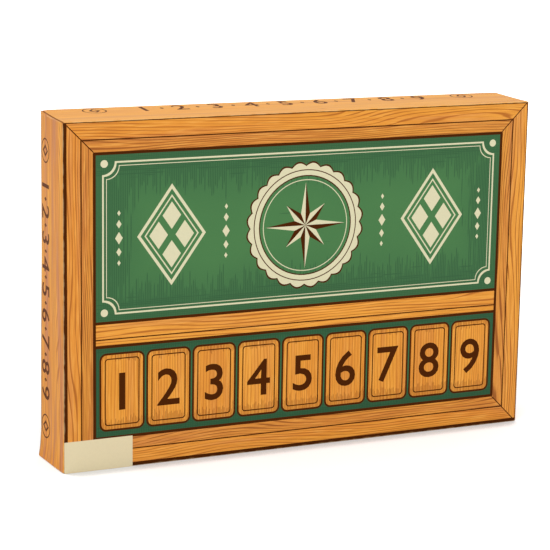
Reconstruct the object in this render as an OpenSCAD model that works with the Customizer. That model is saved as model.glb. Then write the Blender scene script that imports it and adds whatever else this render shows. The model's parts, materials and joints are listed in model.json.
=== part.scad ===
// Shut the box game: a wooden tray with nine flip tiles, two dice and a rules
// sheet, packed in a lift-off board carton that stands on its long narrow side.
// X runs along the carton, Y from its front to its back, Z up.
// The origin is the middle of the carton's footprint.

/* [Carton] */
// Width of the closed carton
carton_w = 355; // [320:1:400]
// Height of the closed carton as it stands
carton_h = 240; // [215:1:280]
// Depth of the closed carton, front to back
carton_d = 47; // [42:0.5:60]
// Thickness of the folded board
board_t = 1.2; // [0.8:0.1:2]
// Gap all round between the lid and the base inside it
lid_gap = 0.6; // [0.3:0.1:1.5]
// How far the base's floor lies inside the lid's rim
base_inset = 0.3; // [0.1:0.1:1.5]
// Gap between the base's rim and the lid's front panel
rim_gap = 0.3; // [0.1:0.1:1]
// Width of the flaps glued inside each corner
flap_w = 24; // [12:1:40]
// How far the flaps stop short of the board's rim
flap_relief = 2; // [1:0.5:6]

/* [Tray] */
// Gap all round between the tray and the base
tray_gap = 1; // [0.5:0.1:2]
// Gap between the tray's rim and the lid's front panel
tray_front_gap = 1; // [0.5:0.1:2]
// Thickness of the tray's walls
wall_t = 8; // [6:0.5:10]
// Thickness of the plywood panel at the tray's back
panel_t = 2.5; // [2:0.1:4]
// Thickness of the felt
felt_t = 1; // [0.6:0.1:1.6]
// Clear edge left round each piece of felt
felt_margin = 0.5; // [0.2:0.1:2]
// Width of the rail between the dice field and the tiles
rail_w = 22; // [16:1:28]
// How far the rail and the ledge stand out from the panel
rail_t = 4.5; // [3:0.25:6]
// Width of the ledge that raised tiles lie on
ledge_w = 10; // [7:0.5:12]
// Fingers in each corner joint
finger_count = 5; // [3:2:7]

/* [Panel nails] */
// Diameter of a nail
nail_d = 1.2; // [0.8:0.1:1.6]
// Diameter of a nail's head
nail_head_d = 2.6; // [2:0.1:3.6]
// Thickness of a nail's head
nail_head_t = 0.6; // [0.4:0.1:1]
// Length of a nail
nail_len = 14; // [9:0.5:18]
// Nails along each long wall, its corners included
nail_columns = 5; // [3:1:9]
// Nails along each end wall, between its corners
nail_rows = 2; // [1:1:5]

/* [Tiles] */
// Gap between neighbouring tiles
tile_gap = 3.2; // [2:0.1:5]
// Thickness of a tile
tile_t = 6.5; // [5.5:0.25:8]
// Radius of the corners at a tile's free end
tile_corner_r = 5; // [2:0.5:8]
// Gap between a lying tile and the rail or ledge under it
rest_gap = 0.3; // [0.2:0.1:0.6]
// Gap that a turning tile's end keeps from the lid
swing_gap = 0.8; // [0.5:0.1:2]
// Gap between a raised tile's end and the tray's top wall
end_gap = 2; // [1:0.25:4]
// Length of tile that lies over the rail
tile_overlap = 8; // [5:0.5:12]

/* [Rod] */
// Diameter of the rod that the tiles turn on
rod_d = 3; // [2.5:0.1:3.6]
// Depth of each hole that holds the rod's end
rod_seat = 5; // [3:0.5:5.5]
// Radial clearance of a tile on the rod
tile_bore_gap = 0.1; // [0.05:0.01:0.1]
// Radial clearance of the rod in the walls and the spacers
rod_fit = 0.05; // [0.02:0.01:0.1]
// Gap left at each end of the rod in its hole
rod_end_gap = 0.3; // [0.1:0.1:1]
// Diameter of a spacer
spacer_d = 6; // [5:0.25:6.4]
// Gap between a spacer and the tile or wall beside it
spacer_gap = 0.3; // [0.2:0.05:0.5]

/* [Dice] */
// Edge length of a die
die_size = 16; // [12:0.5:18]
// Diameter of the ball that rounds a die's corners
die_ball_d = 22.6; // [21:0.1:25]
// Radius of the ball that cuts a pip
pip_r = 2; // [1.6:0.1:2.4]
// Depth of a pip
pip_depth = 0.6; // [0.4:0.1:0.8]
// Distance of the outer pips from the middle of a face
pip_pitch = 4; // [3:0.1:4]
// Gap between a die and the felt behind it
die_back_gap = 0.3; // [0.2:0.1:1]
// Place of the first die along the tray
die_1_x = -72; // [-90:1:-30]
// Place of the second die along the tray
die_2_x = 58; // [30:1:90]

/* [Rules sheet] */
// Width of the folded rules sheet
sheet_w = 210; // [150:1:280]
// Height of the folded rules sheet
sheet_h = 148; // [100:1:190]
// Thickness of the folded rules sheet
sheet_t = 0.5; // [0.3:0.1:1]

/* [Hidden] */
TILE_COUNT = 9;
$fn = 48;
// How far a cut runs past the face that it opens
cut_over = 1;

wood_print = [0.92, 0.63, 0.28];
grey_board = [0.72, 0.70, 0.66];
pine = [0.86, 0.68, 0.44];
ply = [0.80, 0.64, 0.44];
felt_green = [0.13, 0.42, 0.27];
tile_wood = [0.78, 0.55, 0.30];
steel = [0.72, 0.73, 0.75];
ivory = [0.93, 0.90, 0.80];
paper = [0.95, 0.94, 0.90];

// Depths are measured from the carton's front face, which lies at front_y.
front_y = -carton_d / 2;
lid_inner_y = front_y + board_t;
base_front_y = lid_inner_y + rim_gap;
base_back_y = front_y + carton_d - base_inset;
base_inner_y = base_back_y - board_t;

base_z = board_t;
base_w = carton_w - 4 * board_t - 2 * lid_gap;
base_h = carton_h - 2 * board_t - 2 * lid_gap;
base_d = base_back_y - base_front_y;

tray_z = base_z + board_t;
tray_w = base_w - 4 * board_t - 2 * tray_gap;
tray_h = base_h - 2 * board_t - 2 * tray_gap;
tray_front_y = lid_inner_y + tray_front_gap;
tray_back_y = base_inner_y - sheet_t;
panel_y = tray_back_y - panel_t;
wall_d = panel_y - tray_front_y;
inner_w = tray_w - 2 * wall_t;
floor_z = tray_z + wall_t;
ceiling_z = tray_z + tray_h - wall_t;
felt_y = panel_y - felt_t;
rail_y = panel_y - rail_t;

// The rod's axis, and the longest tile that swings past the lid
axis_y = rail_y - rest_gap - tile_t / 2;
tile_reach = axis_y - lid_inner_y - swing_gap;
tile_len = sqrt(pow(tile_reach, 2) - pow(tile_t / 2, 2));
axis_z = ceiling_z - end_gap - tile_len;
rail_top_z = axis_z - tile_len + tile_overlap;
rail_z = rail_top_z - rail_w;
ledge_z = ceiling_z - ledge_w;

tile_pitch = inner_w / TILE_COUNT;
tile_w = tile_pitch - tile_gap;
spacer_len = tile_gap - 2 * spacer_gap;
end_spacer_len = tile_gap / 2 - 2 * spacer_gap;
rod_len = inner_w + 2 * (rod_seat - rod_end_gap);

die_y = felt_y - die_back_gap - die_size / 2;

function tile_x(i) = (i - (TILE_COUNT + 1) / 2) * tile_pitch;

// A box given by its lowest corner and its size
module block(corner, size) {
  translate(corner) cube(size);
}

// A cylinder along X, centred on the point
module x_cylinder(centre, d, len) {
  translate(centre) rotate([0, 90, 0]) cylinder(d = d, h = len, center = true);
}

// A folded board box: panel and four walls, closed at y = 0 and open at y = d,
// with a glued flap inside the four corners of its two end walls
module folded_box(w, d, h, t) {
  difference() {
    block([-w / 2, 0, 0], [w, d, h]);
    block([t - w / 2, t, t], [w - 2 * t, d - t + cut_over, h - 2 * t]);
  }
  for (side = [0, 1], end = [0, 1])
    mirror([side, 0, 0])
      block([w / 2 - 2 * t, t, end ? h - t - flap_w : t],
            [t, d - t - flap_relief, flap_w]);
}

module lid_board() {
  color(wood_print)
    translate([0, front_y, 0])
      folded_box(carton_w, carton_d, carton_h, board_t);
}

module base_board() {
  color(grey_board)
    translate([0, base_back_y, base_z])
      mirror([0, 1, 0])
        folded_box(base_w, base_d, base_h, board_t);
}

module rules_sheet() {
  color(paper)
    block([-sheet_w / 2, tray_back_y, tray_z], [sheet_w, sheet_t, sheet_h]);
}

module tray_panel() {
  color(ply)
    block([-tray_w / 2, panel_y, tray_z], [tray_w, panel_t, tray_h]);
}

// The corner fingers of one parity, as boxes that fill both ends of a wall
module corner_fingers(parity) {
  finger_d = wall_d / finger_count;
  for (i = [0:finger_count - 1])
    if (i % 2 == parity)
      for (side = [0, 1], level = [tray_z, ceiling_z])
        mirror([side, 0, 0])
          block([inner_w / 2, tray_front_y + i * finger_d, level],
                [wall_t + cut_over, finger_d, wall_t]);
}

module tray_wall_top() {
  color(pine)
    difference() {
      block([-tray_w / 2, tray_front_y, ceiling_z], [tray_w, wall_d, wall_t]);
      corner_fingers(1);
    }
}

module tray_wall_bottom() {
  color(pine)
    difference() {
      block([-tray_w / 2, tray_front_y, tray_z], [tray_w, wall_d, wall_t]);
      corner_fingers(1);
    }
}

// The wall at the tray's right end, with a blind hole for the rod
module end_wall() {
  difference() {
    block([inner_w / 2, tray_front_y, tray_z], [wall_t, wall_d, tray_h]);
    corner_fingers(0);
    x_cylinder([inner_w / 2, axis_y, axis_z], rod_d + 2 * rod_fit, 2 * rod_seat);
  }
}

module tray_wall_left() {
  color(pine) mirror([1, 0, 0]) end_wall();
}

module tray_wall_right() {
  color(pine) end_wall();
}

module divider_rail() {
  color(pine)
    block([-inner_w / 2, rail_y, rail_z], [inner_w, rail_t, rail_w]);
}

module rest_ledge() {
  color(pine)
    block([-inner_w / 2, rail_y, ledge_z], [inner_w, rail_t, ledge_w]);
}

// A piece of felt glued to the panel between two heights
module felt_strip(low_z, high_z) {
  color(felt_green)
    block([felt_margin - inner_w / 2, felt_y, low_z + felt_margin],
          [inner_w - 2 * felt_margin, felt_t, high_z - low_z - 2 * felt_margin]);
}

module field_felt() {
  felt_strip(floor_z, rail_z);
}

module trench_felt() {
  felt_strip(rail_top_z, ledge_z);
}

module tile_rod() {
  color(steel) x_cylinder([0, axis_y, axis_z], rod_d, rod_len);
}

module spacer(x, len) {
  difference() {
    x_cylinder([x, axis_y, axis_z], spacer_d, len);
    x_cylinder([x, axis_y, axis_z], rod_d + 2 * rod_fit, len + 2 * cut_over);
  }
}

module rod_spacers() {
  color(tile_wood) {
    for (i = [1:TILE_COUNT - 1])
      spacer((tile_x(i) + tile_x(i + 1)) / 2, spacer_len);
    for (side = [-1, 1])
      spacer(side * (inner_w / 2 - tile_gap / 4), end_spacer_len);
  }
}

// A nail driven into a wall through the panel, its head flush with the panel
module nail(x, z) {
  translate([x, tray_back_y, z])
    rotate([90, 0, 0]) {
      cylinder(d = nail_d, h = nail_len);
      cylinder(d = nail_head_d, h = nail_head_t);
    }
}

module panel_nails() {
  span_x = tray_w - wall_t;
  span_z = tray_h - wall_t;
  low_z = tray_z + wall_t / 2;
  color(steel)
    for (side = [0, 1]) {
      for (i = [1:nail_columns])
        nail(span_x * ((i - 1) / (nail_columns - 1) - 1 / 2), low_z + side * span_z);
      for (i = [1:nail_rows])
        nail(span_x * (side - 1 / 2), low_z + span_z * i / (nail_rows + 1));
    }
}

// Side view of a tile: flat slab with a round end about the rod
module tile_side() {
  translate([-tile_t / 2, -tile_len]) square([tile_t, tile_len]);
  circle(d = tile_t);
}

// Front view of a tile, hanging down, with its lower corners rounded
module tile_front() {
  straight_w = tile_w - 2 * tile_corner_r;
  translate([-tile_w / 2, tile_corner_r - tile_len])
    square([tile_w, tile_len - tile_corner_r + tile_t]);
  translate([-straight_w / 2, -tile_len])
    square([straight_w, tile_corner_r + cut_over]);
  for (side = [-1, 1])
    translate([side * straight_w / 2, tile_corner_r - tile_len])
      circle(r = tile_corner_r);
}

module tile(number) {
  color(tile_wood)
    translate([tile_x(number), axis_y, axis_z])
      difference() {
        intersection() {
          rotate([90, 0, 90])
            linear_extrude(height = tile_w, center = true) tile_side();
          rotate([90, 0, 0])
            linear_extrude(height = 2 * tile_t, center = true) tile_front();
        }
        x_cylinder([0, 0, 0], rod_d + 2 * tile_bore_gap, tile_w + 2 * cut_over);
      }
}

// Places of the pips of a face, in steps of pip_pitch from its middle
function pips(n) = concat(
  n % 2 == 1 ? [[0, 0]] : [],
  n >= 2 ? [[-1, -1], [1, 1]] : [],
  n >= 4 ? [[-1, 1], [1, -1]] : [],
  n == 6 ? [[-1, 0], [1, 0]] : []);

// Turn that brings the top face to each side, with that side's pips
FACES = [[[0, 0, 0], 1], [[90, 0, 0], 2], [[0, 90, 0], 3],
         [[0, -90, 0], 4], [[-90, 0, 0], 5], [[180, 0, 0], 6]];

module die(turn) {
  color(ivory)
    rotate(turn)
      difference() {
        intersection() {
          cube(die_size, center = true);
          sphere(d = die_ball_d);
        }
        for (face = FACES, pip = pips(face[1]))
          rotate(face[0])
            translate([pip[0] * pip_pitch, pip[1] * pip_pitch,
                       die_size / 2 + pip_r - pip_depth])
              sphere(r = pip_r);
      }
}

module die_1() {
  translate([die_1_x, die_y, floor_z + die_size / 2]) die([0, 0, 0]);
}

module die_2() {
  translate([die_2_x, die_y, floor_z + die_size / 2]) die([180, 0, 0]);
}

lid_board();
base_board();
rules_sheet();
tray_panel();
tray_wall_top();
tray_wall_bottom();
tray_wall_left();
tray_wall_right();
divider_rail();
rest_ledge();
field_felt();
trench_felt();
tile_rod();
rod_spacers();
panel_nails();
for (i = [1:TILE_COUNT])
  tile(i);
die_1();
die_2();
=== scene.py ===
import json
import math
import bmesh
import bpy
import numpy as np
from mathutils import Matrix, Vector
from mathutils.geometry import delaunay_2d_cdt


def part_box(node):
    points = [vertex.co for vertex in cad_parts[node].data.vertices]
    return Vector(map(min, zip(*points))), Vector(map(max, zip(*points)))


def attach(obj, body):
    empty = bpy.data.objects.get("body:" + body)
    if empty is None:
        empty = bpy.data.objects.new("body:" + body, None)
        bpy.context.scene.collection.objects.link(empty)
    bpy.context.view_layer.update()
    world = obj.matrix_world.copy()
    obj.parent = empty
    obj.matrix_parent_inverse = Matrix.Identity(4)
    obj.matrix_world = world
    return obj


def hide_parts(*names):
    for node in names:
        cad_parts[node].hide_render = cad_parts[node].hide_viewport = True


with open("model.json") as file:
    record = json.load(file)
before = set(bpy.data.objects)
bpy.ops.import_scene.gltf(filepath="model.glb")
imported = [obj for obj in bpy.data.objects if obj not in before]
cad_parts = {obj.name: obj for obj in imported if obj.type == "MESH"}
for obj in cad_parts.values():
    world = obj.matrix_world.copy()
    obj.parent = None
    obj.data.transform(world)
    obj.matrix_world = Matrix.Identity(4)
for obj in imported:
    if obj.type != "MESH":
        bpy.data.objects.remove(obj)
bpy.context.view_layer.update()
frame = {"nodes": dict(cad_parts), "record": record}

mm = 0.001
quarterTurn = math.pi / 2
bodies = {node: body for body, nodes in frame["record"]["behaviour"]["bodies"].items() for node in nodes}


def addObject(name, data):
    thing = bpy.data.objects.new(name, data)
    bpy.context.scene.collection.objects.link(thing)
    return thing


def addMesh(name, points, faces, materials):
    mesh = bpy.data.meshes.new(name)
    mesh.from_pydata(points, [], faces)
    for material in materials:
        mesh.materials.append(material)
    mesh.update()
    return addObject(name, mesh)


def settle(piece, sharpAngle=35):
    # turns live modifiers into plain mesh, smooth but for edges steeper than sharpAngle degrees
    shape = piece.evaluated_get(bpy.context.evaluated_depsgraph_get())
    mesh = bpy.data.meshes.new_from_object(shape)
    piece.modifiers.clear()
    piece.data = mesh
    mesh.shade_smooth()
    mesh.set_sharp_from_angle(angle=math.radians(sharpAngle))
    return piece


def nodeCopy(node, name, material):
    # a copy of a CAD node's mesh with its doubled corners merged and its flat faces made whole
    mesh = frame["nodes"][node].data.copy()
    form = bmesh.new()
    form.from_mesh(mesh)
    bmesh.ops.remove_doubles(form, verts=form.verts, dist=1e-6)
    bmesh.ops.dissolve_limit(form, angle_limit=math.radians(1), verts=form.verts, edges=form.edges)
    form.to_mesh(mesh)
    form.free()
    mesh.materials.clear()
    mesh.materials.append(material)
    mesh.polygons.foreach_set("material_index", np.zeros(len(mesh.polygons), np.int32))
    return addObject(name, mesh)


def addBevel(piece, width):
    bevel = piece.modifiers.new("roundedEdges", "BEVEL")
    bevel.width = width
    bevel.segments = 2
    bevel.limit_method = "ANGLE"
    bevel.angle_limit = math.radians(40)


def dress(piece, body, node=None):
    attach(piece, body)
    if node:
        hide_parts(node)


def columns(*parts):
    # arrays of x, y and, if given, z as rows of points; a single number goes into every row
    return np.stack(np.broadcast_arrays(*parts), axis=-1)


def sizeOf(box):
    return np.array(box[1] - box[0]) / mm


def closedLoop(points):
    # flat outlines here are arrays of straight segments, segments x 2 ends x 2
    points = np.asarray(points, float)
    return np.stack([points, np.roll(points, -1, axis=0)], axis=1)


def divided(segments, step):
    # the same outline with its long segments cut into equal pieces no longer than step
    counts = np.ceil(np.linalg.norm(segments[:, 1] - segments[:, 0], axis=1) / step).astype(int)
    return closedLoop(np.concatenate([a + (b - a) * np.arange(n)[:, None] / n
                                      for (a, b), n in zip(segments, counts)]))


def moved(segments, x=0, y=0, turn=0):
    c, s = math.cos(turn), math.sin(turn)
    return segments @ np.array([[c, s], [-s, c]]) + (x, y)


def around(angles, radius):
    return columns(radius * np.cos(angles), radius * np.sin(angles))


def rectangle(x0, y0, x1, y1, radius=0, steps=6, notched=False):
    # a corner is a quarter circle about a centre that lies one radius in from both sides, or,
    # where notched, about the corner itself
    angles = np.linspace(0, -quarterTurn if notched else quarterTurn, steps) if radius else np.zeros(1)
    inward = 0 if notched else radius
    left, low, right, high = x0 + inward, y0 + inward, x1 - inward, y1 - inward
    centres = enumerate([(right, high), (left, high), (left, low), (right, low)], 3 if notched else 0)
    corners = [around(angles + k * quarterTurn, radius) + centre for k, centre in centres]
    return closedLoop(np.concatenate(corners))


def disc(radius, steps=64):
    return closedLoop(around(np.linspace(0, 2 * math.pi, steps, endpoint=False), radius))


def scallop(radius, lobes, depth, steps=8):
    # the radius swells by depth in the middle of each lobe and falls back between lobes
    angles = np.linspace(0, 2 * math.pi, lobes * steps, endpoint=False)
    return closedLoop(around(angles, radius + depth * (np.abs(np.sin(angles * lobes / 2)) - 1)))


def lozenge(width, height):
    return closedLoop([(width / 2, 0), (0, height / 2), (-width / 2, 0), (0, -height / 2)])


def readOut(items, key, width, kind=float):
    values = np.zeros(len(items) * width, kind)
    items.foreach_get(key, values)
    return values.reshape(-1, width)


def numeral(text, height):
    # outline of a plain numeral, centred, from the edges that only one face of its filled shape uses
    curve = bpy.data.curves.new("numeral", "FONT")
    curve.body = text
    curve.resolution_u = 4
    curve.offset = 0.012
    holder = bpy.data.objects.new("numeral", curve)
    mesh = holder.to_mesh()
    used = readOut(mesh.loops, "edge_index", 1, np.int32).ravel()
    rim = np.bincount(used, minlength=len(mesh.edges)) == 1
    segments = readOut(mesh.vertices, "co", 3)[:, :2][readOut(mesh.edges, "vertices", 2, np.int32)[rim]]
    # the offset turns a very short side round, so such a side shrinks to its middle
    for short in segments[np.linalg.norm(segments[:, 1] - segments[:, 0], axis=1) < 0.016]:
        segments[np.isclose(segments[:, :, None], short, atol=1e-5).all(-1).any(-1)] = short.mean(0)
    segments = segments[np.any(segments[:, 0] != segments[:, 1], axis=1)]
    holder.to_mesh_clear()
    bpy.data.objects.remove(holder)
    bpy.data.curves.remove(curve)
    low, high = segments.min((0, 1)), segments.max((0, 1))
    return (segments - (low + high) / 2) * height / (high - low)[1]


def inside(points, segments):
    # even-odd rule: a point is inside if a ray to its right crosses an odd number of segments
    x, y = points[:, 0, None], points[:, 1, None]
    (x1, y1), (x2, y2) = segments[:, 0].T, segments[:, 1].T
    spans = (y1 > y) != (y2 > y)
    rise = np.where(y2 == y1, 1, y2 - y1)
    return (spans & (x < (x2 - x1) * (y - y1) / rise + x1)).sum(1) % 2 == 1


def cutSheet(outline, art, guides, spacing):
    # triangles of a flat sheet whose edges follow its outline, its art and its fold lines,
    # and for each triangle the index of the last piece of art that covers it, or -1
    segments = np.concatenate([outline] + [shape for ink, shape in art] + guides)
    low, high = outline.min((0, 1)), outline.max((0, 1))
    grid = np.stack(np.meshgrid(*[np.arange(a + spacing / 2, b, spacing) for a, b in zip(low, high)]), -1)
    points = [Vector(p) for p in np.concatenate([segments.reshape(-1, 2), grid.reshape(-1, 2)])]
    edges = np.arange(len(segments) * 2).reshape(-1, 2).tolist()
    corners, _, faces, *_ = delaunay_2d_cdt(points, edges, [], 0, 1e-4, False)
    corners, faces = np.array([tuple(c) for c in corners]), np.array([tuple(f) for f in faces])
    centres = corners[faces].mean(1)
    kept = inside(centres, outline)
    faces, centres = faces[kept], centres[kept]
    cover = np.full(len(faces), -1)
    for index, (ink, shape) in enumerate(art):
        near = np.all((centres > shape.min((0, 1))) & (centres < shape.max((0, 1))), axis=1)
        found = np.flatnonzero(near)
        cover[found[inside(centres[found], shape)]] = index
    used = np.unique(faces)
    return corners[used], np.searchsorted(used, faces), cover


def tube(rings):
    # rings of points, one after another: a wall between neighbours and a cap at each end
    count, n = rings.shape[:2]
    row, column = np.meshgrid(np.arange(count - 1), np.arange(n), indexing="ij")
    here, after = row * n + column, row * n + (column + 1) % n
    walls = np.stack([here, here + n, after + n, after], -1).reshape(-1, 4)
    last = (count - 1) * n
    return rings.reshape(-1, 3), walls.tolist() + [list(range(n)), list(range(last + n - 1, last - 1, -1))]


def merged(parts):
    # the points and faces of several bodies as one list of each
    firsts = np.cumsum([0] + [len(points) for points, faces in parts]).tolist()
    return (np.concatenate([points for points, faces in parts]),
            [[first + k for k in face] for first, (points, faces) in zip(firsts, parts) for face in faces])


class Wire:
    # a node's output: + - * / with another wire or a number adds a Math node, and wire["Name"] is
    # another output of the same node
    def __init__(self, node, key=0):
        self.node = node
        self.socket = node.outputs[key]
        self.tree = node.id_data

    def __getitem__(self, key):
        return Wire(self.node, key)

    def __add__(self, other):
        return calc("ADD", self, other)

    def __sub__(self, other):
        return calc("SUBTRACT", self, other)

    def __rsub__(self, other):
        return calc("SUBTRACT", other, self)

    def __mul__(self, other):
        return calc("MULTIPLY", self, other)

    def __truediv__(self, other):
        return calc("DIVIDE", self, other)


def setInputs(node, inputs):
    # an input is a number, a vector or a colour, or a wire to link from
    for key, value in inputs.items():
        if isinstance(value, Wire):
            node.id_data.links.new(value.socket, node.inputs[key])
        else:
            node.inputs[key].default_value = value


def addNode(tree, kind, inputs=(), **settings):
    node = tree.nodes.new(kind)
    for key, value in settings.items():
        setattr(node, key, value)
    setInputs(node, dict(inputs))
    return Wire(node)


def calc(operation, a, b=0.0, clamp=False):
    tree = a.tree if isinstance(a, Wire) else b.tree
    return addNode(tree, "ShaderNodeMath", {0: a, 1: b}, operation=operation, use_clamp=clamp)


def least(a, b):
    return calc("MINIMUM", a, b)


def most(a, b):
    return calc("MAXIMUM", a, b)


def vectorMath(operation, a, b=None):
    tree = a.tree if isinstance(a, Wire) else b.tree
    other = {} if b is None else {"Scale" if operation == "SCALE" else 1: b}
    return addNode(tree, "ShaderNodeVectorMath", {0: a, **other}, operation=operation)


def split(vector):
    return addNode(vector.tree, "ShaderNodeSeparateXYZ", {0: vector})


def joined(tree, **parts):
    return addNode(tree, "ShaderNodeCombineXYZ", parts)


def remap(value, low, high, toLow=0.0, toHigh=1.0):
    inputs = {"Value": value, "From Min": low, "From Max": high, "To Min": toLow, "To Max": toHigh}
    return addNode(value.tree, "ShaderNodeMapRange", inputs, interpolation_type="SMOOTHSTEP")


def mixColour(factor, a, b):
    return addNode(factor.tree, "ShaderNodeMix", {"Factor": factor, 6: a, 7: b}, data_type="RGBA")[2]


def tint(tone, other, amount, value, low, high):
    # lays up to this amount of the other colour over a tone, as the value goes from low to high
    return mixColour(remap(value, low, high, 0.0, amount), tone, other)


def noise(vector, scale, detail=2.0, roughness=0.5):
    return addNode(vector.tree, "ShaderNodeTexNoise",
                   {"Vector": vector, "Scale": scale, "Detail": detail, "Roughness": roughness})


def stretch(vector, scale):
    return addNode(vector.tree, "ShaderNodeMapping", {"Vector": vector, "Scale": scale})


def colour(red, green, blue):
    # an sRGB colour in 0 to 255, as the linear colour that the shader takes
    parts = np.array([red, green, blue]) / 255
    return (*np.where(parts <= 0.04045, parts / 12.92, ((parts + 0.055) / 1.055) ** 2.4), 1.0)


def colours(values, *keys):
    return [colour(*values[key]) for key in keys]


def mixTone(a, b, share):
    return tuple((1 - share) * x + share * y for x, y in zip(a, b))


def makeGroup(name, defaults, build):
    # build takes the group's inputs and gives its outputs by name
    group = bpy.data.node_groups.new(name, "ShaderNodeTree")
    for key, value in defaults.items():
        kind = "NodeSocketVector" if isinstance(value, tuple) else "NodeSocketFloat"
        group.interface.new_socket(key, in_out="INPUT", socket_type=kind).default_value = value
    results = build(Wire(group.nodes.new("NodeGroupInput")))
    for key in results:
        group.interface.new_socket(key, in_out="OUTPUT", socket_type="NodeSocketFloat")
    setInputs(group.nodes.new("NodeGroupOutput"), results)
    return group


def useGroup(group, inputs):
    # the first input has to be a wire
    tree = next(iter(inputs.values())).tree
    return addNode(tree, "ShaderNodeGroup", inputs, node_tree=group)


def newMaterial(name, surface):
    # surface takes the place in the object and gives the Principled shader's inputs; its Normal is
    # the height, strength and distance of a bump
    material = bpy.data.materials.new(name)
    material.use_nodes = True
    tree = material.node_tree
    inputs = surface(addNode(tree, "ShaderNodeTexCoord")["Object"])
    if "Normal" in inputs:
        bump = dict(zip(("Height", "Strength", "Distance"), inputs["Normal"]))
        inputs["Normal"] = addNode(tree, "ShaderNodeBump", bump)
    setInputs(tree.nodes["Principled BSDF"], inputs)
    return material


def grainGroup(given):
    # level lines of the distance across the grain, bent by a noise that is drawn out along the grain,
    # so that they run on as stripes and close here and there into flames; their width wanders too
    place, grain = given["Vector"], given["Grain"]
    along = vectorMath("DOT_PRODUCT", place, grain)["Value"]
    across = vectorMath("DOT_PRODUCT", place, (1, 1, 1))["Value"] - along
    broad, narrow = [vectorMath("ADD", place, vectorMath("SCALE", grain, along * -cut))
                     for cut in (0.87, 0.95)]
    bent = across + (noise(broad, 45.0, 1.0, 0.4) - 0.5) * given["Warp"]
    wander = remap(noise(narrow, 330.0, 2.0, 0.6), 0.3, 0.7, 0.1, 1.0)
    level = calc("PINGPONG", bent / given["Pitch"], 0.5)
    return {"Lines": remap(level / (wander * given["Width"]), 1.0, 0.2),
            "Fibre": noise(narrow, 900.0, 2.0, 0.6), "Tone": noise(broad, 30.0),
            "Streak": noise(narrow, 130.0)}


def strokeGroup(given):
    # parallel pen strokes: one line in each column, shown where a noise along the column
    # is above a level that falls as the shade rises
    columns = given["Across"] / given["Pitch"]
    line = remap(calc("PINGPONG", columns, 0.5), 0.1, 0.35)
    spot = joined(columns.tree, X=calc("FLOOR", columns) * 3.71, Y=given["Along"] * 28.0)
    return {"Mask": line * remap(noise(spot, 1.0, 1.0) - (0.8 - given["Shade"] * 0.6), -0.03, 0.05)}


def wearGroup(given):
    # distance to the nearest fold of a board box: of the distances to its three pairs of faces,
    # the middle one; scuffed paler, and lit by a painted highlight, where that is small and a noise is high
    offset = vectorMath("SUBTRACT", given["Vector"], given["Middle"])
    gaps = split(vectorMath("SUBTRACT", given["Half Size"], vectorMath("ABSOLUTE", offset)))
    upper = most(gaps["X"], gaps["Y"])
    middle = most(least(gaps["X"], gaps["Y"]), least(upper, gaps["Z"]))
    rough = remap(noise(given["Vector"], 160.0, 3.0, 0.55), 0.3, 0.7, 0.55, 1.35)
    return {"Mask": remap(middle / (given["Reach"] * rough), 1.0, 0.2)}


def paperGroup(given):
    # coated board: slow waves of the sheet under a fine tooth
    place = given["Vector"]
    return {"Height": noise(place, 14.0, 1.5) * 6.0 + noise(place, 1400.0, 3.0, 0.6) * 0.05}


def pipGroup(given):
    # inside a die's pips: farther in than its flat faces and than the ball that rounds its corners
    offset = vectorMath("SUBTRACT", given["Vector"], given["Middle"])
    parts = split(vectorMath("ABSOLUTE", offset))
    inFace = remap(given["Face"] - most(most(parts["X"], parts["Y"]), parts["Z"]), 0.0, 0.00003)
    inBall = remap(given["Ball"] - vectorMath("LENGTH", offset)["Value"], 0.0, 0.00003)
    return {"Mask": inFace * inBall}


alongX, alongZ, unset = (1, 0, 0), (0, 0, 1), (0, 0, 0)
grainLines, penStrokes, foldWearAndHighlight, boardSurface, pipMask = [makeGroup(*row) for row in (
    ("grainLines", {"Vector": unset, "Grain": alongX, "Pitch": 0.0022, "Warp": 0.006, "Width": 0.4},
     grainGroup),
    ("penStrokes", {"Across": 0.0, "Along": 0.0, "Pitch": 0.0012, "Shade": 0.0}, strokeGroup),
    ("foldWearAndHighlight", {"Vector": unset, "Half Size": unset, "Middle": unset, "Reach": 0.0011}, wearGroup),
    ("boardSurface", {"Vector": unset}, paperGroup),
    ("pipMask", {"Vector": unset, "Middle": unset, "Face": 0.00793, "Ball": 0.01115}, pipGroup))]


def drawGrain(place, wood, width):
    # width is a line's share of its pitch
    return useGroup(grainLines, {"Vector": place, "Grain": wood["grain"], "Pitch": wood["pitch"],
                                 "Warp": wood["warp"], "Width": width})


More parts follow.
